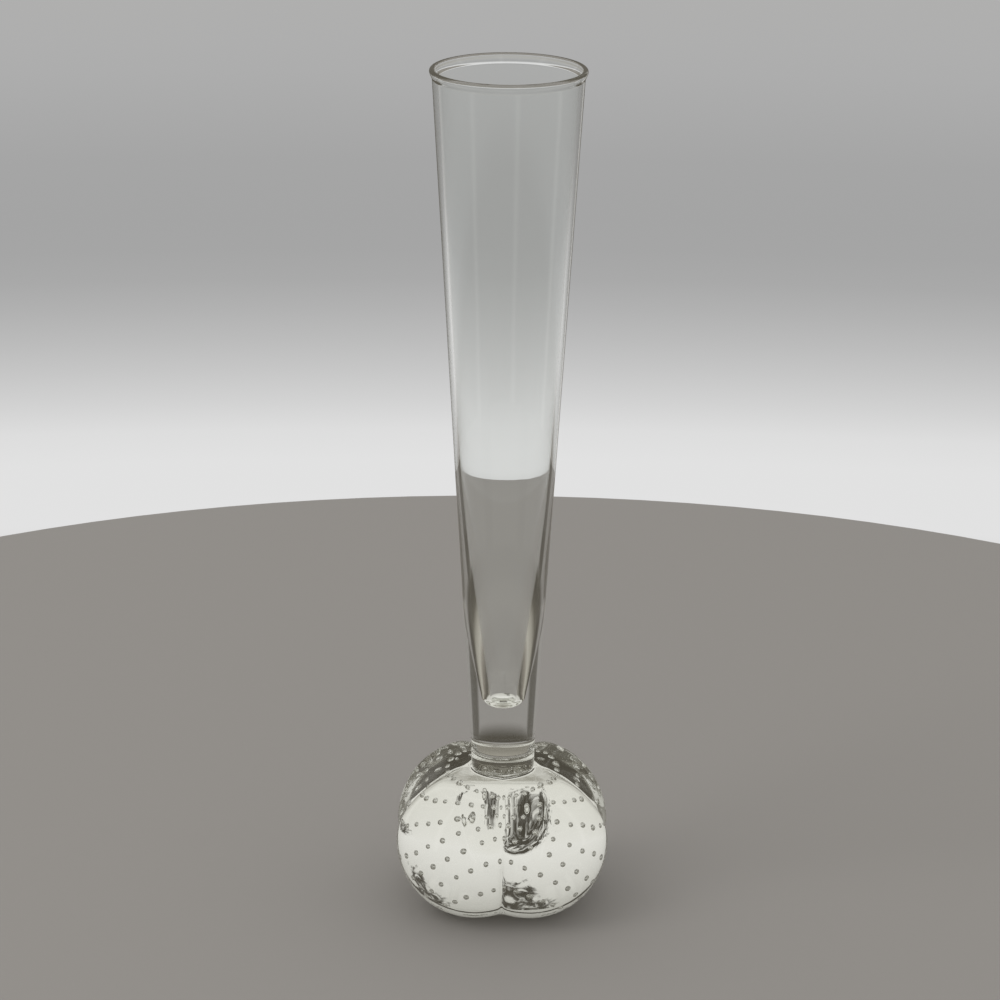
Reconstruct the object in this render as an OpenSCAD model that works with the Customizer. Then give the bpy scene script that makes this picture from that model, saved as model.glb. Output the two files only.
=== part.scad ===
// Glass bud vase: a tall tapered flower tube on a short joining collar, fused
// to a heavy four-lobed base. The base is two gathers of clear glass. The inner
// one has rows of pits, and the outer one closes each pit into an air bubble.
// Millimetres, +Z up, origin in the middle of the flat underside.

/* [Vase] */
// Height of the whole vase
vase_h = 254; // [220:1:300]

/* [Flower tube] */
// Outside diameter of the rim
rim_d = 44.8; // [40:0.2:52]
// How far the lip flares past the wall below it
lip_flare = 0.8; // [0.4:0.1:1.6]
// Height of the flared lip
lip_h = 3.2; // [2.4:0.2:8]
// Thickness of the wall, from the rim down to where the bore narrows
wall = 1.6; // [1.2:0.1:2.6]
// Outside diameter of the tube's solid foot
tube_foot_d = 18.8; // [16:0.2:20]
// Length over which the bore narrows to its blunt end
draw_h = 75.4; // [50:0.2:100]
// Diameter of the bore just above its end
bore_end_d = 8.2; // [7:0.2:10]
// Rounding of the bore's end
bore_end_round = 3.2; // [2:0.1:3.4]
// Slope of the bore's wall just above its end, in degrees
bore_end_slope = 8.5; // [4:0.5:12]
// Thickness of the solid glass under the bore
foot_glass_h = 14.4; // [8:0.2:25]
// Rounding of the tube's lower edge
foot_round = 0.5; // [0.2:0.1:1]

/* [Joining collar] */
// Height of the collar, from its seat to the tube
collar_h = 6.8; // [4:0.2:10]
// How far the collar spreads where it meets the base
collar_spread = 0.8; // [0.3:0.1:1.4]
// Rounding of the collar's upper edge
collar_round = 0.4; // [0.2:0.1:0.8]

/* [Base] */
// Number of lobes
lobes = 4; // [4, 6]
// Radius of each round lobe
lobe_r = 23.6; // [22:0.1:26]
// Distance from the vase's axis to the middle of a lobe
lobe_reach = 11.3; // [9:0.1:13]
// Height of the lobes' widest place above the table
lobe_mid_h = 21.8; // [21:0.1:23]
// Height of the shoulder at the collar
shoulder_h = 42; // [40:0.1:43]
// Slope of the shoulder, which rises outwards, in degrees
shoulder_slope = 10; // [4:0.5:12]
// Depth of the collar's seat below the shoulder
seat_depth = 0.6; // [0.2:0.1:0.8]
// Radius of the flat middle of the underside
foot_r = 12; // [11:0.5:14]
// Thickness of the glass that fills the underside's middle
foot_h = 2; // [1.2:0.1:2.2]

/* [Creases] */
// Radius of the arc that each pair of creases follows
crease_r = 31.2; // [30.5:0.1:32]
// Height of that arc's centre above the table
crease_centre_h = 12.8; // [11.5:0.1:13.5]
// Slope of a crease's two flanks, in degrees
crease_slope = 18; // [12:1:24]

/* [Bubbles] */
// Thickness of the outer gather over the inner one
casing_wall = 4; // [3:0.1:5]
// Diameter of a bubble
bubble_d = 1.6; // [1:0.1:1.8]
// Columns of bubbles all round, an even number
columns = 88; // [48:2:90]
// Rows of bubbles
bubble_rows = 7; // [3:1:7]
// Angle of the highest row, up from the lobes' middle
bubble_top_angle = 45; // [42:1:48]
// Angle from one row to the next
bubble_row_angle = 13; // [12:0.5:14]
// How far the rows climb towards the front and back creases, as an angle
row_lift = 23; // [0:1:26]
// Angle of the row that climbs most
row_lift_angle = -12; // [-16:1:-8]

/* [Hidden] */
$fn = 96;
// Overrun of a cut past the surface that it opens
cut = 1;
// Points along a curve of the tube's outline
curve_points = 28;
// Points along a small rounding
round_points = 6;
// Heights of the collar's seat and of the joint on it
seat_z = shoulder_h - seat_depth;
joint_z = seat_z + collar_h;
seat_r = tube_foot_d / 2 + collar_spread;
// Height at which the shoulder's slope would meet the axis
shoulder_tip_h = shoulder_h - seat_r * tan(shoulder_slope);
// The tube's outside: one straight taper up to the lip
foot_radius = tube_foot_d / 2;
rim_r = rim_d / 2;
lip_z = vase_h - lip_h;
wall_top_r = rim_r - lip_flare;
function tube_r(z) = foot_radius + (wall_top_r - foot_radius) * (z - joint_z) / (lip_z - joint_z);
// The bore: even with the outside down to draw_z, then narrower in one long curve
bore_z = joint_z + foot_glass_h;
draw_z = bore_z + draw_h;
bore_top_r = wall_top_r - wall;
bore_draw_r = tube_r(draw_z) - wall;
taper = (wall_top_r - foot_radius) / (lip_z - joint_z);
// Middle of the rounding at the bore's end, and the curve's last point on it
end_x = bore_end_d / 2 - bore_end_round;
end_z = bore_z + bore_end_round;
curve_end = [end_x + bore_end_round * cos(bore_end_slope), end_z - bore_end_round * sin(bore_end_slope)];
// The curve leaves both ends along their own slopes, for a third of its height
third = (draw_z - curve_end.y) / 3;
curve_controls = [[bore_draw_r, draw_z],
                  [bore_draw_r - taper * third, draw_z - third],
                  [curve_end.x + tan(bore_end_slope) * third, curve_end.y + third],
                  curve_end];
// Middle of the rim's round edge
edge_r = wall / 2;
edge_x = rim_r - edge_r;
edge_z = vase_h - edge_r;
// Size of a block that takes in the whole base
base_w = 2 * (lobe_reach + lobe_r + cut);

// Points of an arc about [x, z], from one angle to another
function arc(x, z, r, from, to, points) =
    [for (i = [0:points]) let (a = from + (to - from) * i / points) [x + r * cos(a), z + r * sin(a)]];

// Points of the lip's outside, which leaves the wall's taper in a smooth flare
function lip_curve() =
    [for (i = [0:curve_points - 1]) let (s = i / curve_points)
        [wall_top_r + lip_flare * s * s * (3 - 2 * s), lip_z + (edge_z - lip_z) * s]];

// The same flare on the inside, from the rim down
function lip_bore() =
    [for (i = [curve_points - 1:-1:0]) let (s = i / curve_points)
        [bore_top_r + lip_flare * s * s * (3 - 2 * s), lip_z + (edge_z - lip_z) * s]];

// A cubic curve through its four control points, at share s of its length
function cubic(p, s) =
    (1 - s) ^ 3 * p[0] + 3 * (1 - s) ^ 2 * s * p[1] + 3 * (1 - s) * s ^ 2 * p[2] + s ^ 3 * p[3];

// The narrowing bore, from its even wall down to the axis
function bore_end() =
    concat([for (i = [0:curve_points - 1]) cubic(curve_controls, i / curve_points)],
           arc(end_x, end_z, bore_end_round, -bore_end_slope, -90, round_points),
           [[0, bore_z]]);

module flower_tube() {
    color("azure", 0.5)
        rotate_extrude()
            polygon(concat(
                [[0, joint_z]],
                arc(foot_radius - foot_round, joint_z + foot_round, foot_round, -90, 0, round_points),
                lip_curve(),
                arc(edge_x, edge_z, edge_r, 0, 180, 2 * round_points),
                lip_bore(),
                bore_end()));
}

module joining_collar() {
    color("lightcyan", 0.6)
        rotate_extrude()
            polygon(concat(
                [[0, seat_z], [seat_r, seat_z]],
                arc(seat_r, seat_z + 2 * collar_spread, collar_spread, 270, 180, round_points),
                arc(foot_radius - collar_round, joint_z - collar_round, collar_round, 0, 90, round_points),
                [[0, joint_z]]));
}

// Round lobes on a circle about the axis
module lobe_spheres(inset) {
    for (i = [0:lobes - 1])
        rotate([0, 0, (i + 1 / 2) * 360 / lobes])
            translate([lobe_reach, 0, lobe_mid_h])
                sphere(r = lobe_r - inset);
}

// Wide V pressed in along an arc: one ring cuts two opposite creases
module crease_cutter(inset) {
    floor_r = crease_r - inset;
    half_w = lobe_reach + lobe_r;
    rise = half_w * tan(crease_slope);
    translate([0, 0, crease_centre_h])
        rotate([90, 0, 0])
            rotate_extrude()
                polygon([[floor_r, 0], [floor_r + rise, half_w], [floor_r + rise + cut, half_w],
                         [floor_r + rise + cut, -half_w], [floor_r + rise, -half_w]]);
}

// Everything above the shoulder, which rises gently outwards
module shoulder_cutter(inset) {
    low = shoulder_tip_h - inset;
    rotate_extrude()
        polygon([[0, low], [base_w, low + base_w * tan(shoulder_slope)], [base_w, low + base_w], [0, low + base_w]]);
}

// The lobed body, as deep inside the outer surface as inset says
module lobed_body(inset) {
    difference() {
        lobe_spheres(inset);
        for (i = [0:lobes / 2 - 1])
            rotate([0, 0, i * 360 / lobes])
                crease_cutter(inset);
        shoulder_cutter(inset);
    }
}

// How far the inner gather reaches from its middle along a direction: the
// furthest lobe, held back by the creases and by the shoulder. A direction that
// runs out between a crease's flanks never meets that crease.
core_lobe_r = lobe_r - casing_wall;
core_crease_r = crease_r - casing_wall;
core_tip_h = shoulder_tip_h - casing_wall;
crease_drop = lobe_mid_h - crease_centre_h;
function lobe_way(azimuth, up) =
    let (along = max([for (i = [0:lobes - 1]) cos(up) * cos(azimuth - (i + 1 / 2) * 360 / lobes)]))
    lobe_reach * along + sqrt(core_lobe_r ^ 2 - lobe_reach ^ 2 * (1 - along ^ 2));
function crease_way(azimuth, up) =
    let (side = tan(crease_slope) * abs(cos(up) * sin(azimuth)),
         a = 1 - (cos(up) * sin(azimuth)) ^ 2 - side ^ 2,
         b = crease_drop * sin(up) - core_crease_r * side,
         c = core_crease_r ^ 2 - crease_drop ^ 2,
         meeting = b + sqrt(b ^ 2 + a * c))
    meeting > 0 ? c / meeting : base_w;
function shoulder_way(up) =
    let (climb = sin(up) - tan(shoulder_slope) * cos(up))
    climb > 0 ? (core_tip_h - lobe_mid_h) / climb : base_w;
function core_way(azimuth, up) =
    min(concat([lobe_way(azimuth, up), shoulder_way(up)],
               [for (i = [0:lobes / 2 - 1]) crease_way(azimuth - i * 360 / lobes, up)]));

// Angle of a row at an azimuth. The rows were level until the front and back
// creases were pressed in, and that drew them up there.
function row_up(row, azimuth) =
    let (level = bubble_top_angle - bubble_row_angle * row)
    level - row_lift * cos(level - row_lift_angle) ^ 4 * cos(2 * azimuth);

// Air bubbles on the inner gather's surface: each column holds every second row
module bubbles() {
    for (i = [0:columns - 1], row = [i % 2:2:bubble_rows - 1]) {
        azimuth = (i + 1 / 2) * 360 / columns;
        up = row_up(row, azimuth);
        way = core_way(azimuth, up);
        rotate([0, 0, azimuth])
            translate([way * cos(up), 0, lobe_mid_h + way * sin(up)])
                sphere(d = bubble_d);
    }
}

module base_casing() {
    color("white", 0.4)
        difference() {
            union() {
                lobed_body(0);
                cylinder(r = foot_r, h = foot_h);
            }
            translate([0, 0, -base_w])
                cylinder(r = base_w, h = base_w);
            lobed_body(casing_wall);
            bubbles();
            translate([0, 0, seat_z])
                cylinder(r = seat_r, h = base_w);
        }
}

module bubble_core() {
    color("lightsteelblue", 0.7)
        difference() {
            lobed_body(casing_wall);
            bubbles();
        }
}

flower_tube();
joining_collar();
base_casing();
bubble_core();
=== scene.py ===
# %% [markdown]
# # A glass bud vase with a bubbled base
# The real vase is hot-worked clear glass: a tall tapered tube on a short collar,
# fused to a heavy base with four lobes. Rows of air bubbles sit inside the base.
# Glass has no colour of its own to paint. It shows what is behind it, bent by its
# shape, so this lesson spends its effort on true surfaces, on hollows in the right
# place, and on a plain setting that gives the glass something to bend.

# %% Load the frame
import math
import bpy
import numpy as np
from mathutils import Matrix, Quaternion, Vector


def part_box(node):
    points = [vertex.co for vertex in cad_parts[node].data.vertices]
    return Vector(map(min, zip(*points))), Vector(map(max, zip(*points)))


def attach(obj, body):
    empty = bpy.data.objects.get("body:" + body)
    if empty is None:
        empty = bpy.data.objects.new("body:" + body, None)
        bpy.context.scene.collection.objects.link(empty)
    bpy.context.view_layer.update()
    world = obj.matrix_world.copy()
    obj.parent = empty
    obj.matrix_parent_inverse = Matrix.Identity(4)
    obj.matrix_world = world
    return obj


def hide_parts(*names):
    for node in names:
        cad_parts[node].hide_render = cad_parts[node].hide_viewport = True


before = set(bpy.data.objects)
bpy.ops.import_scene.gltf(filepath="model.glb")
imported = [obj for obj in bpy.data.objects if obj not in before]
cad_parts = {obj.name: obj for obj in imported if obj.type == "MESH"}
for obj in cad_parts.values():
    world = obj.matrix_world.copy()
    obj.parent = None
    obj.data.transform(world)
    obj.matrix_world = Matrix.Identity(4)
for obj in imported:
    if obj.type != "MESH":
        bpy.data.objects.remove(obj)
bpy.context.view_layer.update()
scene = bpy.context.scene

# %% [markdown]
# ## Sizes
# The solids of the frame give the places that matter: where the collar sits, where
# the tube starts, how high the rim is. The rest are the glassmaker's own sizes, in
# millimetres, turned to metres here once.

# %% Sizes of the vase
MM = 0.001
tube_low, tube_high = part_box("flower_tube")
RIM_R, RIM_Z = tube_high.x, tube_high.z
JOINT_Z, SEAT_Z = tube_low.z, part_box("joining_collar")[0].z
LIP_FLARE, LIP_H, WALL = 0.8 * MM, 3.2 * MM, 1.6 * MM
FOOT_R, FOOT_GLASS_H, DRAW_H = 9.4 * MM, 14.4 * MM, 75.4 * MM
BORE_END_R, BORE_END_ROUND, BORE_END_SLOPE = 4.1 * MM, 3.2 * MM, math.radians(8.5)
LOBES = 4
LOBE_R, LOBE_REACH, LOBE_MID_Z = 23.6 * MM, 11.3 * MM, 21.8 * MM
SHOULDER_Z, SHOULDER_SLOPE = 42 * MM, math.tan(math.radians(10))
CREASE_R, CREASE_MID_Z, CREASE_SLOPE = 31.2 * MM, 12.8 * MM, math.tan(math.radians(18))
CASING_WALL = 4 * MM
BUBBLE_D, COLUMNS, ROWS = 1.6 * MM, 88, 7
TOP_ANGLE, ROW_ANGLE = math.radians(45), math.radians(13)
ROW_LIFT, LIFT_ANGLE = math.radians(23), math.radians(-12)
print(f"rim {RIM_R / MM:.1f} mm at {RIM_Z / MM:.1f} mm")
print(f"tube from {JOINT_Z / MM:.1f} mm, collar from {SEAT_Z / MM:.1f} mm")

# %% [markdown]
# ## The camera
# A camera fitted to the rim's ellipse, the tube's edges and the four lobes stands
# about 1.1 m away and looks down at the vase. The lens is long, which keeps the
# tall tube almost free of perspective.

# %% Camera at the photograph's angle
CAMERA_PLACE = Vector((-1.47 * MM, -1017 * MM, 473 * MM))
CAMERA_PITCH, CAMERA_ROLL = math.radians(18.84), math.radians(0.48)
FOCAL_PIXELS, FRAME_PIXELS, SENSOR, SIGHT = 3683, 1000, 36, 20
camera_data = bpy.data.cameras.new("photo_camera")
camera_data.sensor_width = SENSOR
camera_data.lens = SENSOR * FOCAL_PIXELS / FRAME_PIXELS
camera_data.clip_end = SIGHT
camera = bpy.data.objects.new("photo_camera", camera_data)
scene.collection.objects.link(camera)
camera.location = CAMERA_PLACE
look = Vector((0, math.cos(CAMERA_PITCH), -math.sin(CAMERA_PITCH)))
camera.rotation_mode = "QUATERNION"
camera.rotation_quaternion = Quaternion(look, -CAMERA_ROLL) @ look.to_track_quat("-Z", "Y")
scene.camera = camera
print(f"lens {camera_data.lens:.1f} mm")

# %% [markdown]
# ## The lobed base as one rule
# Seen from its middle, the base is a simple thing: in each direction its surface is
# some distance away. That distance is the furthest of four round lobes, held back
# by the creases that were pressed in between them, by the dished shoulder round
# the neck, and by the flat that was ground underneath. Hot glass has no sharp
# edges, so the furthest and the nearest are taken softly.

# %% How far the base reaches in a direction
LOBE_SOFT, SHOULDER_SOFT, FLAT_SOFT = 0.45 * MM, 0.9 * MM, 0.2 * MM
CREASE_ROUND, NECK_GAP = 0.03, 0.8 * MM
# A direction that climbs less than this never meets the shoulder or the flat: they are FAR away.
LEAST_CLIMB, FAR = 0.05, 0.2


def soft_max(ways, soft):
    top = np.max(ways, axis=0)
    return top + soft * np.log(np.sum(np.exp((ways - top) / soft), axis=0))


def soft_min(ways, soft):
    return -soft_max(-np.array(ways), soft)


def crease_way(azimuth, up, inset):
    """Distance to a crease's V. A direction that runs out between its flanks never meets it."""
    across = np.cos(up) * np.sin(azimuth)
    side = CREASE_SLOPE * np.sqrt(across ** 2 + CREASE_ROUND ** 2)
    drop, floor_r = LOBE_MID_Z - CREASE_MID_Z, CREASE_R - inset
    a = 1 - across ** 2 - side ** 2
    b = drop * np.sin(up) - floor_r * side
    meeting = b + np.sqrt(np.maximum(b ** 2 + a * (floor_r ** 2 - drop ** 2), 0))
    return (floor_r ** 2 - drop ** 2) / np.maximum(meeting, (floor_r ** 2 - drop ** 2) / FAR)


def base_way(azimuth, up, inset=0.0):
    """Distance from the middle of the lobes to a surface that lies inset under the base's skin."""
    lobe_r = LOBE_R - inset
    lobe_ways = []
    for lobe in range(LOBES):
        along = np.cos(up) * np.cos(azimuth - (lobe + 0.5) * math.tau / LOBES)
        beside = LOBE_REACH ** 2 * (1 - along ** 2)
        lobe_ways.append(LOBE_REACH * along + np.sqrt(lobe_r ** 2 - beside))
    ways = [soft_max(np.array(lobe_ways), LOBE_SOFT)]
    ways += [crease_way(azimuth - turn, up, inset) for turn in (0, math.pi / 2)]
    tip = SHOULDER_Z - (FOOT_R + NECK_GAP) * SHOULDER_SLOPE - inset - LOBE_MID_Z
    climb = np.sin(up) - SHOULDER_SLOPE * np.cos(up)
    shoulder = np.where(climb > LEAST_CLIMB, tip / np.maximum(climb, LEAST_CLIMB), FAR)
    way = soft_min([soft_min(ways, LOBE_SOFT), shoulder], SHOULDER_SOFT)
    if inset:
        return way
    flat = np.where(up < -LEAST_CLIMB, LOBE_MID_Z / np.maximum(-np.sin(up), LEAST_CLIMB), FAR)
    return soft_min([way, flat], FLAT_SOFT)


half_degrees = np.linspace(0, math.tau, 721)
reach = base_way(half_degrees, np.zeros_like(half_degrees)) / MM
print(f"lobes reach {reach.max():.1f} mm, creases {reach.min():.1f} mm")

# %% [markdown]
# ## One skin for all the fused glass
# The tube, the collar and the base are fused, so light passes from one to the next
# without a surface between them. Four separate closed glass meshes would show
# mirrors at the joints that the real vase doesn't have. So the skin is made as one
# closed mesh, ring by ring: up over the base, up the collar and the tube, over the
# rim, and down the bore to its round end. The joints stay as the small grooves
# that they are on the real vase.

# %% Rings of the base
AROUND, CREASE_CROWDING = 256, 0.45
BANDS = ((-88, -62, 6), (-62, -38, 34), (-38, 38, 46))  # from, to (degrees) and rings
NECK_BAND, NECK_RINGS = (math.radians(45), math.radians(80)), 34
HALVINGS = 40
FILLET = 1.0 * MM


def crowded_azimuths():
    """Azimuths that stand closer together near the creases."""
    even = np.arange(AROUND) * math.tau / AROUND
    return even - CREASE_CROWDING / LOBES * np.sin(LOBES * even)


def base_point(azimuth, up, inset=0.0):
    way = base_way(azimuth, up, inset)
    return np.stack([way * np.cos(up) * np.cos(azimuth), way * np.cos(up) * np.sin(azimuth),
                     LOBE_MID_Z + way * np.sin(up)], axis=-1)


def neck_angles(azimuth, neck_r, inset=0.0):
    """The angle at which the base's surface comes in to the neck, for each azimuth."""
    low, high = (np.full_like(azimuth, limit) for limit in NECK_BAND)
    for _ in range(HALVINGS):
        middle = (low + high) / 2
        outside = base_way(azimuth, middle, inset) * np.cos(middle) > neck_r
        low, high = np.where(outside, middle, low), np.where(outside, high, middle)
    return low


def base_rings(azimuth, neck_r):
    """Rings from near the middle of the underside up to the neck."""
    top = neck_angles(azimuth, neck_r)
    rings = []
    for low, high, count in BANDS:
        ups = [math.radians(low + (high - low) * i / count) for i in range(count)]
        rings += [np.full_like(azimuth, up) for up in ups]
    start = math.radians(BANDS[-1][1])
    rings += [start + (top - start) * i / NECK_RINGS for i in range(NECK_RINGS + 1)]
    return [base_point(azimuth, up) for up in rings]


azimuths = crowded_azimuths()
rings = base_rings(azimuths, FOOT_R + FILLET)
print(len(rings), "rings on the base, neck at", round(float(rings[-1][:, 2].mean() / MM), 2), "mm")

# %% [markdown]
# The tube's taper is straight from its foot to the lip, and the wall keeps one
# thickness over more than half of its height. Below that the bore narrows in a long
# curve to a blunt end, because the bubble of air that the glassblower started with
# never went further. A curve with four control points follows that: it leaves
# each end along that end's own slope.

# %% Profile of the collar, the tube and the bore
LIP_Z = RIM_Z - LIP_H
WALL_TOP_R = RIM_R - LIP_FLARE
BORE_Z = JOINT_Z + FOOT_GLASS_H
DRAW_Z = BORE_Z + DRAW_H
TAPER = (WALL_TOP_R - FOOT_R) / (LIP_Z - JOINT_Z)
GROOVE_DEEP, GROOVE_HALF, COLLAR_START = 0.35 * MM, 0.9 * MM, 2.4 * MM
COLLAR_RINGS, GROOVE_RINGS, TAPER_RINGS, LIP_RINGS, EDGE_RINGS = 5, 13, 40, 16, 15
WALL_RINGS, DRAW_RINGS, END_RINGS = 28, 40, 12


def tube_r(z):
    return FOOT_R + TAPER * (z - JOINT_Z)


def bore_curve():
    """Radius and height down the narrowing bore to where its end is rounded."""
    start = np.array([tube_r(DRAW_Z) - WALL, DRAW_Z])
    end = np.array([BORE_END_R - BORE_END_ROUND + BORE_END_ROUND * math.cos(BORE_END_SLOPE),
                    BORE_Z + BORE_END_ROUND - BORE_END_ROUND * math.sin(BORE_END_SLOPE)])
    third = (start[1] - end[1]) / 3
    leave = start - third * np.array([TAPER, 1])
    arrive = end + third * np.array([math.tan(BORE_END_SLOPE), 1])
    shares = np.linspace(0, 1, DRAW_RINGS)[:, None]
    return ((1 - shares) ** 3 * start + 3 * (1 - shares) ** 2 * shares * leave
            + 3 * (1 - shares) * shares ** 2 * arrive + shares ** 3 * end)


def flare(share):
    return LIP_FLARE * share * share * (3 - 2 * share)


def neck_profile():
    """Radius and height up the collar, through the joint's groove, to the tube's foot."""
    below, above = JOINT_Z - GROOVE_HALF, JOINT_Z + GROOVE_HALF
    heights = np.concatenate([np.linspace(SEAT_Z + COLLAR_START, below, COLLAR_RINGS)[:-1],
                              np.linspace(below, above, GROOVE_RINGS)])
    share = np.clip(np.abs(heights - JOINT_Z) / GROOVE_HALF, 0, 1)
    dip = GROOVE_DEEP * (0.5 + 0.5 * np.cos(math.pi * share)) ** 2
    return [(FOOT_R - d if z < JOINT_Z else tube_r(z) - d, z) for z, d in zip(heights, dip)]


def tube_profile():
    """Radius and height from the tube's foot over the rim and down the bore."""
    taper = np.linspace(JOINT_Z + GROOVE_HALF, LIP_Z, TAPER_RINGS)[1:-1]
    points = [(tube_r(z), z) for z in taper]
    edge_r = WALL / 2
    edge_z = RIM_Z - edge_r
    shares = np.linspace(0, 1, LIP_RINGS)[:-1]
    points += [(WALL_TOP_R + flare(s), LIP_Z + (edge_z - LIP_Z) * s) for s in shares]
    points += [(RIM_R - edge_r + edge_r * math.cos(a), edge_z + edge_r * math.sin(a))
               for a in np.linspace(0, math.pi, EDGE_RINGS)]
    points += [(WALL_TOP_R - WALL + flare(s), LIP_Z + (edge_z - LIP_Z) * s) for s in shares[:0:-1]]
    points += [(tube_r(z) - WALL, z) for z in np.linspace(LIP_Z, DRAW_Z, WALL_RINGS)[:-1]]
    points += [tuple(p) for p in bore_curve()[:-1]]
    points += [(BORE_END_R - BORE_END_ROUND + BORE_END_ROUND * math.cos(a),
                BORE_Z + BORE_END_ROUND - BORE_END_ROUND * math.sin(a))
               for a in np.linspace(BORE_END_SLOPE, math.pi / 2, END_RINGS)]
    return points


profile = neck_profile() + tube_profile()
print(len(profile), "rings above the base")

# %% Join the rings into one closed mesh
FILLET_RINGS = 7


def ring_at(radius, z):
    across = [radius * np.cos(azimuths), radius * np.sin(azimuths)]
    return np.stack(across + [np.full(AROUND, z)], axis=-1)


def fillet_rings(edge):
    """A concave quarter turn from the base's edge to the collar's side."""
    z = edge[:, 2]
    rings = []
    for i in range(1, FILLET_RINGS + 1):
        a = math.radians(270 - 90 * i / FILLET_RINGS)
        radius = FOOT_R + FILLET + FILLET * math.cos(a)
        ring = ring_at(radius, 0.0)
        ring[:, 2] = z + FILLET + FILLET * math.sin(a)
        rings.append(ring)
    return rings


def skin(rings, low_pole, high_pole):
    """A closed mesh through rings of AROUND points, with a point at each end."""
    points = [low_pole] + [tuple(p) for ring in rings for p in ring] + [high_pole]
    last = len(points) - 1
    faces = [(0, 1 + (j + 1) % AROUND, 1 + j) for j in range(AROUND)]
    for i in range(len(rings) - 1):
        a, b = 1 + i * AROUND, 1 + (i + 1) * AROUND
        faces += [(a + j, a + (j + 1) % AROUND, b + (j + 1) % AROUND, b + j)
                  for j in range(AROUND)]
    a = 1 + (len(rings) - 1) * AROUND
    faces += [(a + j, a + (j + 1) % AROUND, last) for j in range(AROUND)]
    return points, faces


def new_object(name, points, faces):
    mesh = bpy.data.meshes.new(name)
    mesh.from_pydata([tuple(p) for p in points], [], faces)
    mesh.polygons.foreach_set("use_smooth", [True] * len(mesh.polygons))
    mesh.update()
    made = bpy.data.objects.new(name, mesh)
    scene.collection.objects.link(made)
    return made


all_rings = rings + fillet_rings(rings[-1]) + [ring_at(r, z) for r, z in profile]
points, faces = skin(all_rings, (0, 0, 0), (0, 0, BORE_Z))
vase = new_object("fused_glass", points, faces)
print(len(points), "points,", len(faces), "faces")

# %% [markdown]
# ## Trapped air
# The inner gather is pressed into a mould with rows of pins, and the outer gather
# closes over the pits. Each bubble therefore lies on the inner gather's surface.
# Geometry Nodes can do the same: a point for each pin, a ray from outside to find
# the inner gather, and a small sphere there. The spheres' faces are flipped, so
# that they point out of the glass and into the air, which is what makes the ring
# of light round each bubble.

# %% A guide for the inner gather
GUIDE_TILT, GUIDE_RINGS = 88, 90


def guide_mesh():
    even = np.arange(AROUND) * math.tau / AROUND
    ups = np.radians(np.linspace(-GUIDE_TILT, GUIDE_TILT, GUIDE_RINGS))
    rows = [base_point(even, np.full(AROUND, up), CASING_WALL) for up in ups]
    return skin(rows, tuple(rows[0].mean(axis=0)), tuple(rows[-1].mean(axis=0)))


guide = new_object("inner_gather_guide", *guide_mesh())
print(len(guide.data.vertices), "points on the inner gather")

# %% One small helper for nodes
def add_node(tree, kind, settings=None, links=None):
    """Adds a node and sets its properties. An input gets a plain value, the socket that feeds
    it, or a node, which stands for the first of its outputs that is in use."""
    node = tree.nodes.new(kind)
    for name, value in (settings or {}).items():
        setattr(node, name, value)
    for name, value in (links or {}).items():
        if isinstance(value, bpy.types.Node):
            value = next(output for output in value.outputs if output.enabled)
        if isinstance(value, bpy.types.NodeSocket):
            tree.links.new(value, node.inputs[name])
        else:
            node.inputs[name].default_value = value
    return node


def colour(text):
    """An sRGB hex colour as linear values, as the shader sockets want them."""
    parts = [int(text[i:i + 2], 16) / 255 for i in (1, 3, 5)]
    return (*(v / 12.92 if v <= 0.04045 else ((v + 0.055) / 1.055) ** 2.4 for v in parts), 1.0)


# %% [markdown]
# ## Clear glass
# Handmade clear glass of this kind bends light about as lead-free crystal does, so
# its IOR is 1.52. It is fire-polished, which leaves no roughness at all. A thick
# piece takes a faint grey-green tint from iron in the sand, which a thin wall
# doesn't show, so the tint belongs in the volume and not on the surface. Long
# drawing lines run up the tube, left from the blowing: a stretched noise bends the
# light there by a hair.
#
# A renderer follows light through only a few mirrorings inside the glass and takes
# the rest for black. In the collar, in the rim and round the bubbles much of the
# light goes further than that, and ends somewhere in the room after all. So the
# glass glows with a dim, even painted light where such a path is cut off. Light
# that was mirrored less often never meets it.

# %% The glass
GLASS_TONE, GLASS_IOR = "#FCFDFC", 1.52
TINT_TONE, TINT_DENSITY = "#A9B3A4", 2.0
LINES_PER_METRE = (260, 260, 6)  # a drawing line is about 4 mm wide and 170 mm long
LINE_DEPTH, LINE_STRENGTH = 0.2 * MM, 0.12
CUT_OFF_GLOW_TONE, CUT_DEPTH = "#413E37", 4


def make_glass():
    material = bpy.data.materials.new("clear_soda_lime_glass")
    material.use_nodes = True
    tree = material.node_tree
    tree.nodes.clear()
    place = add_node(tree, "ShaderNodeTexCoord").outputs["Object"]
    drawn = add_node(tree, "ShaderNodeMapping", links={"Vector": place, "Scale": LINES_PER_METRE})
    lines = add_node(tree, "ShaderNodeTexNoise",
                     links={"Vector": drawn, "Scale": 1.0, "Detail": 1.0}).outputs["Fac"]
    ripple = add_node(tree, "ShaderNodeBump",
                      links={"Height": lines, "Strength": LINE_STRENGTH, "Distance": LINE_DEPTH})
    # Painted light: where a path is cut off after many mirrorings, the glass glows with a dim, even
    # tone.
    mirrored = add_node(tree, "ShaderNodeLightPath").outputs["Glossy Depth"]
    cut_off = add_node(tree, "ShaderNodeMath", {"operation": "GREATER_THAN"},
                       {0: mirrored, 1: CUT_DEPTH - 0.5})
    clear = add_node(tree, "ShaderNodeBsdfPrincipled",
                     links={"Base Color": colour(GLASS_TONE), "Roughness": 0.0, "IOR": GLASS_IOR,
                            "Transmission Weight": 1.0, "Normal": ripple,
                            "Emission Color": colour(CUT_OFF_GLOW_TONE), "Emission Strength": cut_off})
    tint = add_node(tree, "ShaderNodeVolumeAbsorption",
                    links={"Color": colour(TINT_TONE), "Density": TINT_DENSITY})
    add_node(tree, "ShaderNodeOutputMaterial", links={"Surface": clear, "Volume": tint})
    return material


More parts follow.
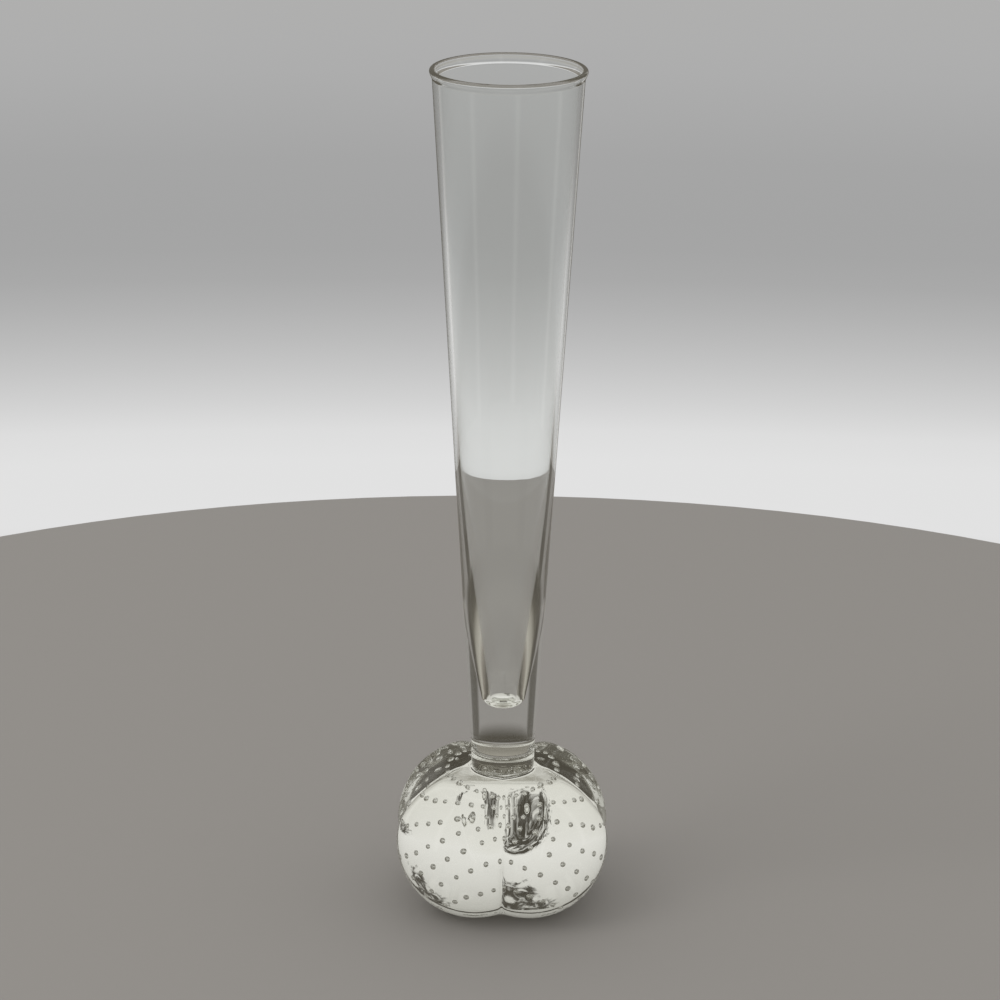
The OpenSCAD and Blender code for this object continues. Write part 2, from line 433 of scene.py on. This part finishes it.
glass = make_glass()
vase.data.materials.append(glass)
print(glass.name, "has", len(glass.node_tree.nodes), "nodes")

# %% [markdown]
# The rows of bubbles aren't level. They climb towards the crease in front, so each
# row's angle follows a wave round the vase, which is strongest a little below the
# middle of the lobes. Every second place stays empty, so the rows are staggered.
# No two bubbles are alike: each is moved a little and gets a size of its own.

# %% Where the pins of the mould point
LIFT_POWER = 4.0


def pin_way(tree, given, index, wanders):
    """Each pin's direction from the middle of the lobes, and whether its place is in use."""
    column = add_node(tree, "ShaderNodeMath", {"operation": "DIVIDE"}, {0: index, 1: given["Rows"]})
    column = add_node(tree, "ShaderNodeMath", {"operation": "FLOOR"}, {0: column})
    row = add_node(tree, "ShaderNodeMath", {"operation": "MODULO"}, {0: index, 1: given["Rows"]})
    parity = add_node(tree, "ShaderNodeMath", {"operation": "ADD"}, {0: column, 1: row})
    parity = add_node(tree, "ShaderNodeMath", {"operation": "MODULO"}, {0: parity, 1: 2.0})
    staggered = add_node(tree, "ShaderNodeMath", {"operation": "LESS_THAN"}, {0: parity, 1: 0.5})

    turn = add_node(tree, "ShaderNodeMath", {"operation": "DIVIDE"},
                    {0: math.tau, 1: given["Columns"]})
    azimuth = add_node(tree, "ShaderNodeMath", {"operation": "ADD"}, {0: column, 1: 0.5})
    azimuth = add_node(tree, "ShaderNodeMath", {"operation": "MULTIPLY"}, {0: azimuth, 1: turn})
    drop = add_node(tree, "ShaderNodeMath", {"operation": "MULTIPLY"},
                    {0: given["Row Angle"], 1: row})
    level = add_node(tree, "ShaderNodeMath", {"operation": "SUBTRACT"},
                     {0: given["Top Angle"], 1: drop})

    lift = add_node(tree, "ShaderNodeMath", {"operation": "SUBTRACT"},
                    {0: level, 1: given["Lift Angle"]})
    lift = add_node(tree, "ShaderNodeMath", {"operation": "COSINE"}, {0: lift})
    lift = add_node(tree, "ShaderNodeMath", {"operation": "POWER"}, {0: lift, 1: LIFT_POWER})
    lift = add_node(tree, "ShaderNodeMath", {"operation": "MULTIPLY"},
                    {0: given["Row Lift"], 1: lift})
    wave = add_node(tree, "ShaderNodeMath", {"operation": "MULTIPLY"}, {0: azimuth, 1: 2.0})
    wave = add_node(tree, "ShaderNodeMath", {"operation": "COSINE"}, {0: wave})
    lift = add_node(tree, "ShaderNodeMath", {"operation": "MULTIPLY"}, {0: lift, 1: wave})
    up = add_node(tree, "ShaderNodeMath", {"operation": "SUBTRACT"}, {0: level, 1: lift})

    angles = []
    for angle, wander in ((azimuth, wanders[0]), (up, wanders[1])):
        shift = add_node(tree, "ShaderNodeMath", {"operation": "MULTIPLY"},
                         {0: given["Wander"], 1: wander})
        angles.append(add_node(tree, "ShaderNodeMath", {"operation": "ADD"}, {0: angle, 1: shift}))
    turned, raised = [
        [add_node(tree, "ShaderNodeMath", {"operation": what}, {0: angle})
         for what in ("COSINE", "SINE")] for angle in angles]
    across = [add_node(tree, "ShaderNodeMath", {"operation": "MULTIPLY"}, {0: raised[0], 1: part})
              for part in turned]
    way = add_node(tree, "ShaderNodeCombineXYZ",
                   links={"X": across[0], "Y": across[1], "Z": raised[1]})
    return way, staggered


# %% Bubbles by Geometry Nodes
BUBBLE_INPUTS = [("Geometry", "Geometry"), ("Inner Gather", "Object"),
                 ("Columns", "Int"), ("Rows", "Int"), ("Top Angle", "Float"),
                 ("Row Angle", "Float"), ("Row Lift", "Float"), ("Lift Angle", "Float"),
                 ("Middle Height", "Float"), ("Diameter", "Float"), ("Wander", "Float"),
                 ("Seed", "Int"), ("Glass", "Material")]
PIN_START, PIN_LENGTH = 0.1, 0.2
WANDER, BUBBLE_SIZES, SEED = math.radians(0.6), (0.85, 1.1), 7
BALL_STEPS = 2  # an icosphere of 80 faces


def bubble_tree():
    """A bubble where each pin's ray meets the inner gather, joined to the body."""
    tree = bpy.data.node_groups.new("trapped_air", "GeometryNodeTree")
    for name, kind in BUBBLE_INPUTS:
        tree.interface.new_socket(name, in_out="INPUT", socket_type="NodeSocket" + kind)
    tree.interface.new_socket("Geometry", in_out="OUTPUT", socket_type="NodeSocketGeometry")
    given = add_node(tree, "NodeGroupInput").outputs
    index = add_node(tree, "GeometryNodeInputIndex")
    draws = []  # a random value's inputs 2 and 3 are its least and its most
    for low, high in ((-1.0, 1.0), (-1.0, 1.0), BUBBLE_SIZES):
        seed = add_node(tree, "ShaderNodeMath", {"operation": "ADD"},
                        {0: given["Seed"], 1: len(draws) + 1})
        draws.append(add_node(tree, "FunctionNodeRandomValue", {"data_type": "FLOAT"},
                              {2: low, 3: high, "ID": index, "Seed": seed}))
    count = add_node(tree, "ShaderNodeMath", {"operation": "MULTIPLY"},
                     {0: given["Columns"], 1: given["Rows"]})
    pins = add_node(tree, "GeometryNodePoints", links={"Count": count})
    way, staggered = pin_way(tree, given, index, draws[:2])
    inward, outward = [
        add_node(tree, "ShaderNodeVectorMath", {"operation": "SCALE"}, {0: way, "Scale": by})
        for by in (-1.0, PIN_START)]
    middle = add_node(tree, "ShaderNodeCombineXYZ", links={"Z": given["Middle Height"]})
    outside = add_node(tree, "ShaderNodeVectorMath", {"operation": "ADD"},
                       {0: middle, 1: outward})
    gather = add_node(tree, "GeometryNodeObjectInfo", {"transform_space": "RELATIVE"},
                      {"Object": given["Inner Gather"]}).outputs["Geometry"]
    ray = add_node(tree, "GeometryNodeRaycast",
                   links={"Target Geometry": gather, "Source Position": outside,
                          "Ray Direction": inward,
                          "Ray Length": PIN_LENGTH}).outputs["Hit Position"]
    placed = add_node(tree, "GeometryNodeSetPosition", links={"Geometry": pins, "Position": ray})
    radius = add_node(tree, "ShaderNodeMath", {"operation": "DIVIDE"},
                      {0: given["Diameter"], 1: 2.0})
    ball = add_node(tree, "GeometryNodeMeshIcoSphere",
                    links={"Radius": radius, "Subdivisions": BALL_STEPS})
    many = add_node(tree, "GeometryNodeInstanceOnPoints",
                    links={"Points": placed, "Selection": staggered, "Instance": ball,
                           "Scale": draws[2]})
    real = add_node(tree, "GeometryNodeRealizeInstances", links={"Geometry": many})
    flipped = add_node(tree, "GeometryNodeFlipFaces", links={"Mesh": real})
    smooth = add_node(tree, "GeometryNodeSetShadeSmooth", links={"Geometry": flipped})
    both = add_node(tree, "GeometryNodeJoinGeometry", links={"Geometry": smooth})
    tree.links.new(given["Geometry"], both.inputs["Geometry"])
    joined = add_node(tree, "GeometryNodeRealizeInstances", links={"Geometry": both})
    dressed = add_node(tree, "GeometryNodeSetMaterial",
                       links={"Geometry": joined, "Material": given["Glass"]})
    add_node(tree, "NodeGroupOutput", links={"Geometry": dressed})
    return tree


# %% The bubbles on the vase
def with_bubbles(body, values):
    """The body with its bubbles as a plain mesh, under the same name."""
    modifier = body.modifiers.new("trapped_air", "NODES")
    modifier.node_group = bubble_tree()
    face = modifier.node_group.interface.items_tree
    sockets = {socket.name: socket.identifier for socket in face if socket.in_out == "INPUT"}
    for name, value in values.items():
        modifier[sockets[name]] = value
    body.update_tag()
    evaluated = body.evaluated_get(bpy.context.evaluated_depsgraph_get())
    mesh = bpy.data.meshes.new_from_object(evaluated)
    body.modifiers.clear()
    body.data = mesh
    return len(mesh.polygons)


bubble_values = {"Inner Gather": guide, "Columns": COLUMNS, "Rows": ROWS, "Top Angle": TOP_ANGLE,
                 "Row Angle": ROW_ANGLE, "Row Lift": ROW_LIFT, "Lift Angle": LIFT_ANGLE,
                 "Middle Height": LOBE_MID_Z, "Diameter": BUBBLE_D, "Wander": WANDER,
                 "Seed": SEED, "Glass": glass}
print(with_bubbles(vase, bubble_values), "faces with the bubbles")
bpy.data.objects.remove(guide)
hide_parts("flower_tube", "joining_collar", "base_casing", "bubble_core")
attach(vase, "root")

# %% [markdown]
# ## A plain setting
# Clear glass on a white page disappears, so the floor is a plain grey disc with a
# pale surround that falls off to grey behind the tube. The glass then has light
# and dark to bend, as it has in the photograph.
#
# Each lobe is also a strong lens. It gathers the room's light to bright patches on
# the table just behind it, called caustics, and from the front the whole lobe is
# filled with the view of them. A path tracer finds such light only with very many
# samples. So the floor carries the caustics itself as painted light, for rays that
# reach it through glass: bright under the lobes, with places and blotches of painted
# shade, and its bright rings moved about by noise. Further out it carries painted
# light and shade in bands, which the tube's solid foot shows. Light that was
# mirrored many times on its way has lost all trace of where it came from, and meets
# one even painted tone instead.

# %% A ramp of hex colours
def set_stops(ramp, stops):
    """Gives a colour ramp its stops: a place from 0 to 1 and a hex colour each."""
    while len(ramp.elements) < len(stops):
        ramp.elements.new(0.5)
    for element, (place, shade) in zip(ramp.elements, stops):
        element.position = place
        element.color = colour(shade)


# %% Painted light and shade under the glass
FLOOR_R, FLOOR_GAP = 0.375, 0.0001
FLOOR_TONE = "#98948F"
GLOW_R, RING_H = 58 * MM, 24 * MM
# Painted tones: the brightest painted light of the caustics, the painted light at the pale ring's
# top, and the painted shade.
GLOW_TONE, RING_TOP_TONE, PAINTED_SHADE_TONE = "#EFEDE7", "#C6C4BC", "#48443B"
# Each place of painted shade is a middle and a half size, in mm, and is mirrored in front of the
# vase.
PAINTED_SHADE_PLACES = [((-12, 38.5, 0), (2.4, 0.7, 1)), ((13, 44.6, 0), (4.6, 6.2, 3)),
               ((10, 56.6, 16), (3.6, 3, 6)), ((8, 57, 22), (6.5, 3, 3.5))]
PAINTED_SHADE_EDGE, PAINTED_SHADE_MOST, PAINTED_SHADE_BLOTCHES, PAINTED_SHADE_FROM, PAINTED_SHADE_FULL = 1.5, 0.75, 3.2, 0.2, 0.85
MIXED_TONE, MIXED_FROM, MIXED_FULL = "#8C887D", 2.0, 5.0
# Rings of painted light for the caustics, from the middle of the base out to GLOW_R, with darker
# rings of painted shade, darkest under the middle of the base.
PAINTED_CAUSTIC_TONES = [(0, "#8C897F"), (0.24, "#9A978C"), (0.31, "#CBC9BF"), (0.36, "#AFACA1"),
                (0.42, "#DEDCD3"), (0.48, "#CFCDC4"), (0.56, "#E6E4DB"), (1, GLOW_TONE)]
PATCH_SHIFT, PATCH_DETAIL, PATCH_ROUGH, PATCH_TWIST = 8 * MM, 4.0, 0.6, 1.2


def after_bounces(tree, tone):
    """The tone, or an even painted tone in place of light that went to and fro inside the glass
    many times.
    """
    path = add_node(tree, "ShaderNodeLightPath").outputs
    inside = add_node(tree, "ShaderNodeMath", {"operation": "SUBTRACT"},
                      {0: path["Ray Depth"], 1: path["Transmission Depth"]})
    share = add_node(tree, "ShaderNodeMapRange", {"interpolation_type": "SMOOTHSTEP"},
                     {"Value": inside, "From Min": MIXED_FROM, "From Max": MIXED_FULL})
    return add_node(tree, "ShaderNodeMix", {"data_type": "RGBA"},
                    {0: share, 6: tone, 7: colour(MIXED_TONE)})  # inputs 6 and 7 are the colours


def painted_shade_share(tree, axes, uneven):
    """How much painted shade a place has, from 0 to 1: near the middle of a place of painted shade,
    and in blotches.
    """
    mirrored_y = add_node(tree, "ShaderNodeMath", {"operation": "ABSOLUTE"}, {0: axes["Y"]})
    folded = add_node(tree, "ShaderNodeCombineXYZ",
                      links={"X": axes["X"], "Y": mirrored_y, "Z": axes["Z"]})
    dark = -1.0
    for middle, half in PAINTED_SHADE_PLACES:
        off = folded
        for what, by in (("SUBTRACT", middle), ("DIVIDE", half)):
            off = add_node(tree, "ShaderNodeVectorMath", {"operation": what},
                           {0: off, 1: [v * MM for v in by]})
        off = add_node(tree, "ShaderNodeVectorMath", {"operation": "LENGTH"}, {0: off})
        depth = add_node(tree, "ShaderNodeMath", {"operation": "SUBTRACT"}, {0: PAINTED_SHADE_EDGE, 1: off})
        dark = add_node(tree, "ShaderNodeMath", {"operation": "MAXIMUM"}, {0: dark, 1: depth})
    dark = add_node(tree, "ShaderNodeMath", {"operation": "MINIMUM"}, {0: dark, 1: PAINTED_SHADE_MOST})
    blotches = add_node(tree, "ShaderNodeMath", {"operation": "SUBTRACT"}, {0: uneven, 1: 0.5})
    blotches = add_node(tree, "ShaderNodeMath", {"operation": "MULTIPLY"},
                        {0: blotches, 1: PAINTED_SHADE_BLOTCHES})
    dark = add_node(tree, "ShaderNodeMath", {"operation": "ADD"}, {0: dark, 1: blotches})
    return add_node(tree, "ShaderNodeMapRange", {"interpolation_type": "SMOOTHSTEP"},
                    {"Value": dark, "From Min": PAINTED_SHADE_FROM, "From Max": PAINTED_SHADE_FULL})


def caustics(tree, patch_size):
    """The painted light that the glass gathers under it, with places and blotches of painted shade,
    as a node.
    """
    place = add_node(tree, "ShaderNodeTexCoord").outputs["Object"]
    uneven = add_node(tree, "ShaderNodeTexNoise",
                      links={"Vector": place, "Scale": 1 / patch_size, "Detail": PATCH_DETAIL,
                             "Roughness": PATCH_ROUGH, "Distortion": PATCH_TWIST}).outputs
    shift = uneven["Color"]
    for what, by in (("SUBTRACT", (0.5, 0.5, 0.5)), ("MULTIPLY", (PATCH_SHIFT, PATCH_SHIFT, 0))):
        shift = add_node(tree, "ShaderNodeVectorMath", {"operation": what}, {0: shift, 1: by})
    moved = place
    for what, by in (("ADD", shift), ("MULTIPLY", (1, 1, 0))):
        moved = add_node(tree, "ShaderNodeVectorMath", {"operation": what}, {0: moved, 1: by})
    radius = add_node(tree, "ShaderNodeVectorMath", {"operation": "LENGTH"}, {0: moved})
    outward = add_node(tree, "ShaderNodeMath", {"operation": "DIVIDE"}, {0: radius, 1: GLOW_R})
    rings = add_node(tree, "ShaderNodeValToRGB", links={"Fac": outward})
    set_stops(rings.color_ramp, PAINTED_CAUSTIC_TONES)
    axes = add_node(tree, "ShaderNodeSeparateXYZ", links={"Vector": place}).outputs
    high = add_node(tree, "ShaderNodeMath", {"operation": "DIVIDE"}, {0: axes["Z"], 1: RING_H})
    light = add_node(tree, "ShaderNodeMix", {"data_type": "RGBA"},
                     {0: high, 6: rings, 7: colour(RING_TOP_TONE)})
    dark = painted_shade_share(tree, axes, uneven["Fac"])
    tone = add_node(tree, "ShaderNodeMix", {"data_type": "RGBA"},
                    {0: dark, 6: light, 7: colour(PAINTED_SHADE_TONE)})
    return after_bounces(tree, tone)


# %% Floor
SHADE_R, SHADE_FADE_R = 162 * MM, 181 * MM
# Painted light and shade in rings out to SHADE_R, which the tube's solid foot shows as light and
# dark bands.
SHADE_TONES = [(0.36, "#B5B1A6"), (0.43, "#57534A"), (0.52, "#A29E94"), (0.58, "#4E4A41"),
               (0.66, "#857F75"), (0.72, "#B0ACA1"), (0.80, "#9A968B"), (0.87, "#5E5A50"),
               (0.95, "#4A463E"), (1, "#4E4A41")]
FLOOR_ROUGHNESS, FLOOR_PATCHES, FLOOR_POINTS = 0.9, 1.8 * MM, 128
SOLID_DEPTH = 2.5  # light that passed fewer faces than this went through solid glass
SIDE_FROM, SIDE_FULL, SIDE_SHADE = -0.6, -0.9, 0.9


def shade_reach(tree, place, radius):
    """How much of the painted shade there is: it fades outward, and reaches further towards the
    lobes.
    """
    fade = add_node(tree, "ShaderNodeMapRange", {"interpolation_type": "SMOOTHSTEP"},
                    {"Value": radius, "From Min": SHADE_R, "From Max": SHADE_FADE_R,
                     "To Min": 1.0, "To Max": 0.0})
    axes = add_node(tree, "ShaderNodeSeparateXYZ", links={"Vector": place}).outputs
    turn = add_node(tree, "ShaderNodeMath", {"operation": "ARCTAN2"}, {0: axes["X"], 1: axes["Y"]})
    turn = add_node(tree, "ShaderNodeMath", {"operation": "MULTIPLY"}, {0: turn, 1: LOBES})
    turn = add_node(tree, "ShaderNodeMath", {"operation": "COSINE"}, {0: turn})
    sides = add_node(tree, "ShaderNodeMapRange", {"interpolation_type": "SMOOTHSTEP"},
                     {"Value": turn, "From Min": SIDE_FROM, "From Max": SIDE_FULL,
                      "To Min": 0.0, "To Max": SIDE_SHADE})
    return add_node(tree, "ShaderNodeMath", {"operation": "MAXIMUM"}, {0: fade, 1: sides})


def floor_material():
    material = bpy.data.materials.new("pale_matt_floor")
    material.use_nodes = True
    tree = material.node_tree
    tree.nodes.clear()
    matt = add_node(tree, "ShaderNodeBsdfPrincipled",
                    links={"Base Color": colour(FLOOR_TONE), "Roughness": FLOOR_ROUGHNESS})
    place = add_node(tree, "ShaderNodeTexCoord").outputs["Object"]
    radius = add_node(tree, "ShaderNodeVectorMath", {"operation": "LENGTH"}, {0: place})
    near = add_node(tree, "ShaderNodeMath", {"operation": "LESS_THAN"}, {0: radius, 1: GLOW_R})
    outward = add_node(tree, "ShaderNodeMath", {"operation": "DIVIDE"}, {0: radius, 1: SHADE_R})
    shade = add_node(tree, "ShaderNodeValToRGB", links={"Fac": outward})
    set_stops(shade.color_ramp, SHADE_TONES)
    tone = add_node(tree, "ShaderNodeMix", {"data_type": "RGBA"},
                    {0: near, 6: shade, 7: caustics(tree, FLOOR_PATCHES)})
    # Rays that reach the floor through glass see it glow with painted light and shade instead of
    # its lit colour.
    glow = add_node(tree, "ShaderNodeEmission", links={"Color": tone, "Strength": 1.0})
    path = add_node(tree, "ShaderNodeLightPath").outputs
    solid = add_node(tree, "ShaderNodeMath", {"operation": "LESS_THAN"},
                     {0: path["Transmission Depth"], 1: SOLID_DEPTH})
    shaded = add_node(tree, "ShaderNodeMath", {"operation": "MULTIPLY"},
                      {0: solid, 1: shade_reach(tree, place, radius)})
    shaded = add_node(tree, "ShaderNodeMath", {"operation": "MAXIMUM"}, {0: near, 1: shaded})
    share = add_node(tree, "ShaderNodeMath", {"operation": "MULTIPLY"},
                     {0: path["Is Transmission Ray"], 1: shaded})
    mix = add_node(tree, "ShaderNodeMixShader", links={0: share, 1: matt, 2: glow})
    add_node(tree, "ShaderNodeOutputMaterial", links={"Surface": mix})
    return material


def make_floor():
    turns = np.arange(FLOOR_POINTS) * math.tau / FLOOR_POINTS
    rim = [(FLOOR_R * math.cos(a), FLOOR_R * math.sin(a), -FLOOR_GAP) for a in turns]
    floor = new_object("floor", rim, [tuple(range(len(rim)))])
    floor.data.materials.append(floor_material())
    print(f"floor of {FLOOR_R / MM:.0f} mm radius, bright out to {GLOW_R / MM:.0f} mm")


# %% [markdown]
# Three cards stand close to the base, and only light that went through the glass
# meets them. A low pale ring goes on upward where the bright floor ends, and hides
# the floor's far edge from the lobes. Two narrow dark cards, one behind the base
# and one in front of it, give the lobes at the back the dark band that the photo
# shows beside the neck.

# %% Cards that only light through the glass meets
CARD_Z, CARD_Y, CARD_HALF = (11.0 * MM, 14.2 * MM), (29.3 * MM, 34.0 * MM), 15 * MM
RING_GAP, RING_FOOT, RING_POINTS, RING_PATCHES = 0.5 * MM, -1 * MM, 96, 3.5 * MM


def card_material(name, tone):
    """A card that glows with painted light or painted shade. The tone is a hex colour, or a
    function that adds the nodes of one.
    """
    material = bpy.data.materials.new(name)
    material.use_nodes = True
    tree = material.node_tree
    tree.nodes.clear()
    shade = colour(tone) if isinstance(tone, str) else tone(tree, RING_PATCHES)
    glow = add_node(tree, "ShaderNodeEmission", links={"Color": shade, "Strength": 1.0})
    add_node(tree, "ShaderNodeOutputMaterial", links={"Surface": glow})
    return material


def add_card(name, points, faces, material):
    card = new_object(name, points, faces)
    card.data.materials.append(material)
    for kind in ("camera", "diffuse", "glossy", "shadow", "volume_scatter"):
        setattr(card, "visible_" + kind, False)
    print(name, "has", len(faces), "faces")


def make_cards():
    turns = np.arange(RING_POINTS) * math.tau / RING_POINTS
    ring_r = GLOW_R - RING_GAP
    points = [(ring_r * math.cos(a), ring_r * math.sin(a), z)
              for z in (RING_FOOT, RING_H) for a in turns]
    faces = [(i, (i + 1) % RING_POINTS, RING_POINTS + (i + 1) % RING_POINTS, RING_POINTS + i)
             for i in range(RING_POINTS)]
    # The pale ring glows with the painted light of the caustics.
    add_card("pale_ring", points, faces, card_material("painted_light_card", caustics))
    # The dark cards are sheets of painted shade: the lobes at the back show them as a dark band
    # beside the neck.
    dark = card_material("painted_shade_card", PAINTED_SHADE_TONE)
    for side, name in ((1, "dark_card_behind"), (-1, "dark_card_in_front")):
        low, high = [(side * y, z) for y, z in zip(CARD_Y, CARD_Z)]
        points = [(-CARD_HALF, *low), (CARD_HALF, *low), (CARD_HALF, *high), (-CARD_HALF, *high)]
        add_card(name, points, [(0, 1, 2, 3)], dark)


make_floor()
make_cards()

# %% [markdown]
# The surround is a world shader. Seen straight, or through glass, it is pale where
# the table ends, grey behind the tube and paler again further up. Above the
# horizon it turns dark, then pale, then dark, which is what the rim and the bore
# show as thin bands. Mirrored in the glass it is dimmer, with a few soft upright
# strips, because what stands in front of a vase is seldom as bright as the wall
# behind it. All other light comes from it evenly.

# %% The world
SURROUND = [(-90, "#8E8A84"), (-20.5, "#8E8A84"), (-19.5, "#E2E2E2"), (-17.9, "#E1E1E1"),
            (-17.3, "#D2D2D2"), (-16.6, "#C1C1C1"), (-16.0, "#B4B4B4"), (-15.4, "#A9A9A9"),
            (-14.8, "#A4A4A4"), (-13.6, "#A5A5A5"), (-12.0, "#AEAEAE"), (-8.0, "#B4B3B0"),
            (-1.0, "#8A867C"), (3.0, "#6A665C"), (12.0, "#6A665C"), (25.0, "#C2C0B8"),
            (34.0, "#B8B6AE"), (38.0, "#4E4A41"), (50.0, "#4E4A41"), (60.0, "#8E8A80"),
            (90, "#8E8A80")]  # an angle in degrees from the horizon, and a tone
MIRRORED = [(-90, "#55524C"), (-10, "#605D57"), (10, "#7A7771"), (90, "#55524C")]
STRIPS, STRIP_TURN, STRIP_EDGE, STRIP_TONE = 5, math.radians(22), 14, "#D6D4D0"
ROOM_TONE, ROOM_STRENGTH = "#FFFFFF", 0.8


def world_ramp(tree, height, stops):
    """The tone at each angle above or below the horizon."""
    share = add_node(tree, "ShaderNodeMapRange",
                     links={"Value": height, "From Min": -1.0, "From Max": 1.0})
    ramp = add_node(tree, "ShaderNodeValToRGB", links={"Fac": share})
    set_stops(ramp.color_ramp,
              [((math.sin(math.radians(up)) + 1) / 2, shade) for up, shade in stops])
    return ramp


def make_world():
    world = bpy.data.worlds.new("studio")
    scene.world = world
    world.use_nodes = True
    tree = world.node_tree
    tree.nodes.clear()
    look_way = add_node(tree, "ShaderNodeTexCoord").outputs["Generated"]
    way = add_node(tree, "ShaderNodeSeparateXYZ", links={"Vector": look_way}).outputs
    strips = add_node(tree, "ShaderNodeMath", {"operation": "ARCTAN2"}, {0: way["X"], 1: way["Y"]})
    for what, by in (("SUBTRACT", STRIP_TURN), ("MULTIPLY", STRIPS), ("COSINE", 0),
                     ("MAXIMUM", 0), ("POWER", STRIP_EDGE)):
        strips = add_node(tree, "ShaderNodeMath", {"operation": what}, {0: strips, 1: by})
    mirrored = add_node(tree, "ShaderNodeMix", {"data_type": "RGBA"},
                        {0: strips, 6: world_ramp(tree, way["Z"], MIRRORED), 7: colour(STRIP_TONE)})
    surround = after_bounces(tree, world_ramp(tree, way["Z"], SURROUND))
    path = add_node(tree, "ShaderNodeLightPath").outputs
    straight = add_node(tree, "ShaderNodeMath", {"operation": "MAXIMUM"},
                        {0: path["Is Camera Ray"], 1: path["Is Transmission Ray"]})
    seen = add_node(tree, "ShaderNodeMath", {"operation": "MAXIMUM"},
                    {0: straight, 1: path["Is Glossy Ray"]})
    backdrop = add_node(tree, "ShaderNodeMix", {"data_type": "RGBA"},
                        {0: straight, 6: mirrored, 7: surround})
    backdrop = add_node(tree, "ShaderNodeBackground", links={"Color": backdrop, "Strength": 1.0})
    light = add_node(tree, "ShaderNodeBackground",
                     links={"Color": colour(ROOM_TONE), "Strength": ROOM_STRENGTH})
    mix = add_node(tree, "ShaderNodeMixShader", links={0: seen, 1: light, 2: backdrop})
    add_node(tree, "ShaderNodeOutputWorld", links={"Surface": mix})


make_world()
print(len(SURROUND), "tones from straight down to straight up")

# %% A soft lamp
def add_lamp(name, place, target, width, height, power):
    data = bpy.data.lights.new(name, "AREA")
    data.shape, data.size, data.size_y, data.energy = "RECTANGLE", width, height, power
    lamp = bpy.data.objects.new(name, data)
    lamp.location = place
    lamp.rotation_mode = "QUATERNION"
    lamp.rotation_quaternion = (Vector(target) - Vector(place)).to_track_quat("-Z", "Y")
    # Its square would show as a window in every lobe.
    lamp.visible_glossy = lamp.visible_transmission = False
    scene.collection.objects.link(lamp)
    print(name, "gives", power, "W")


add_lamp("soft_key", place=(-0.9, -0.5, 1.2), target=(0, 0, 0.1), width=0.7, height=0.9, power=4)
scene.view_settings.view_transform = "Standard"
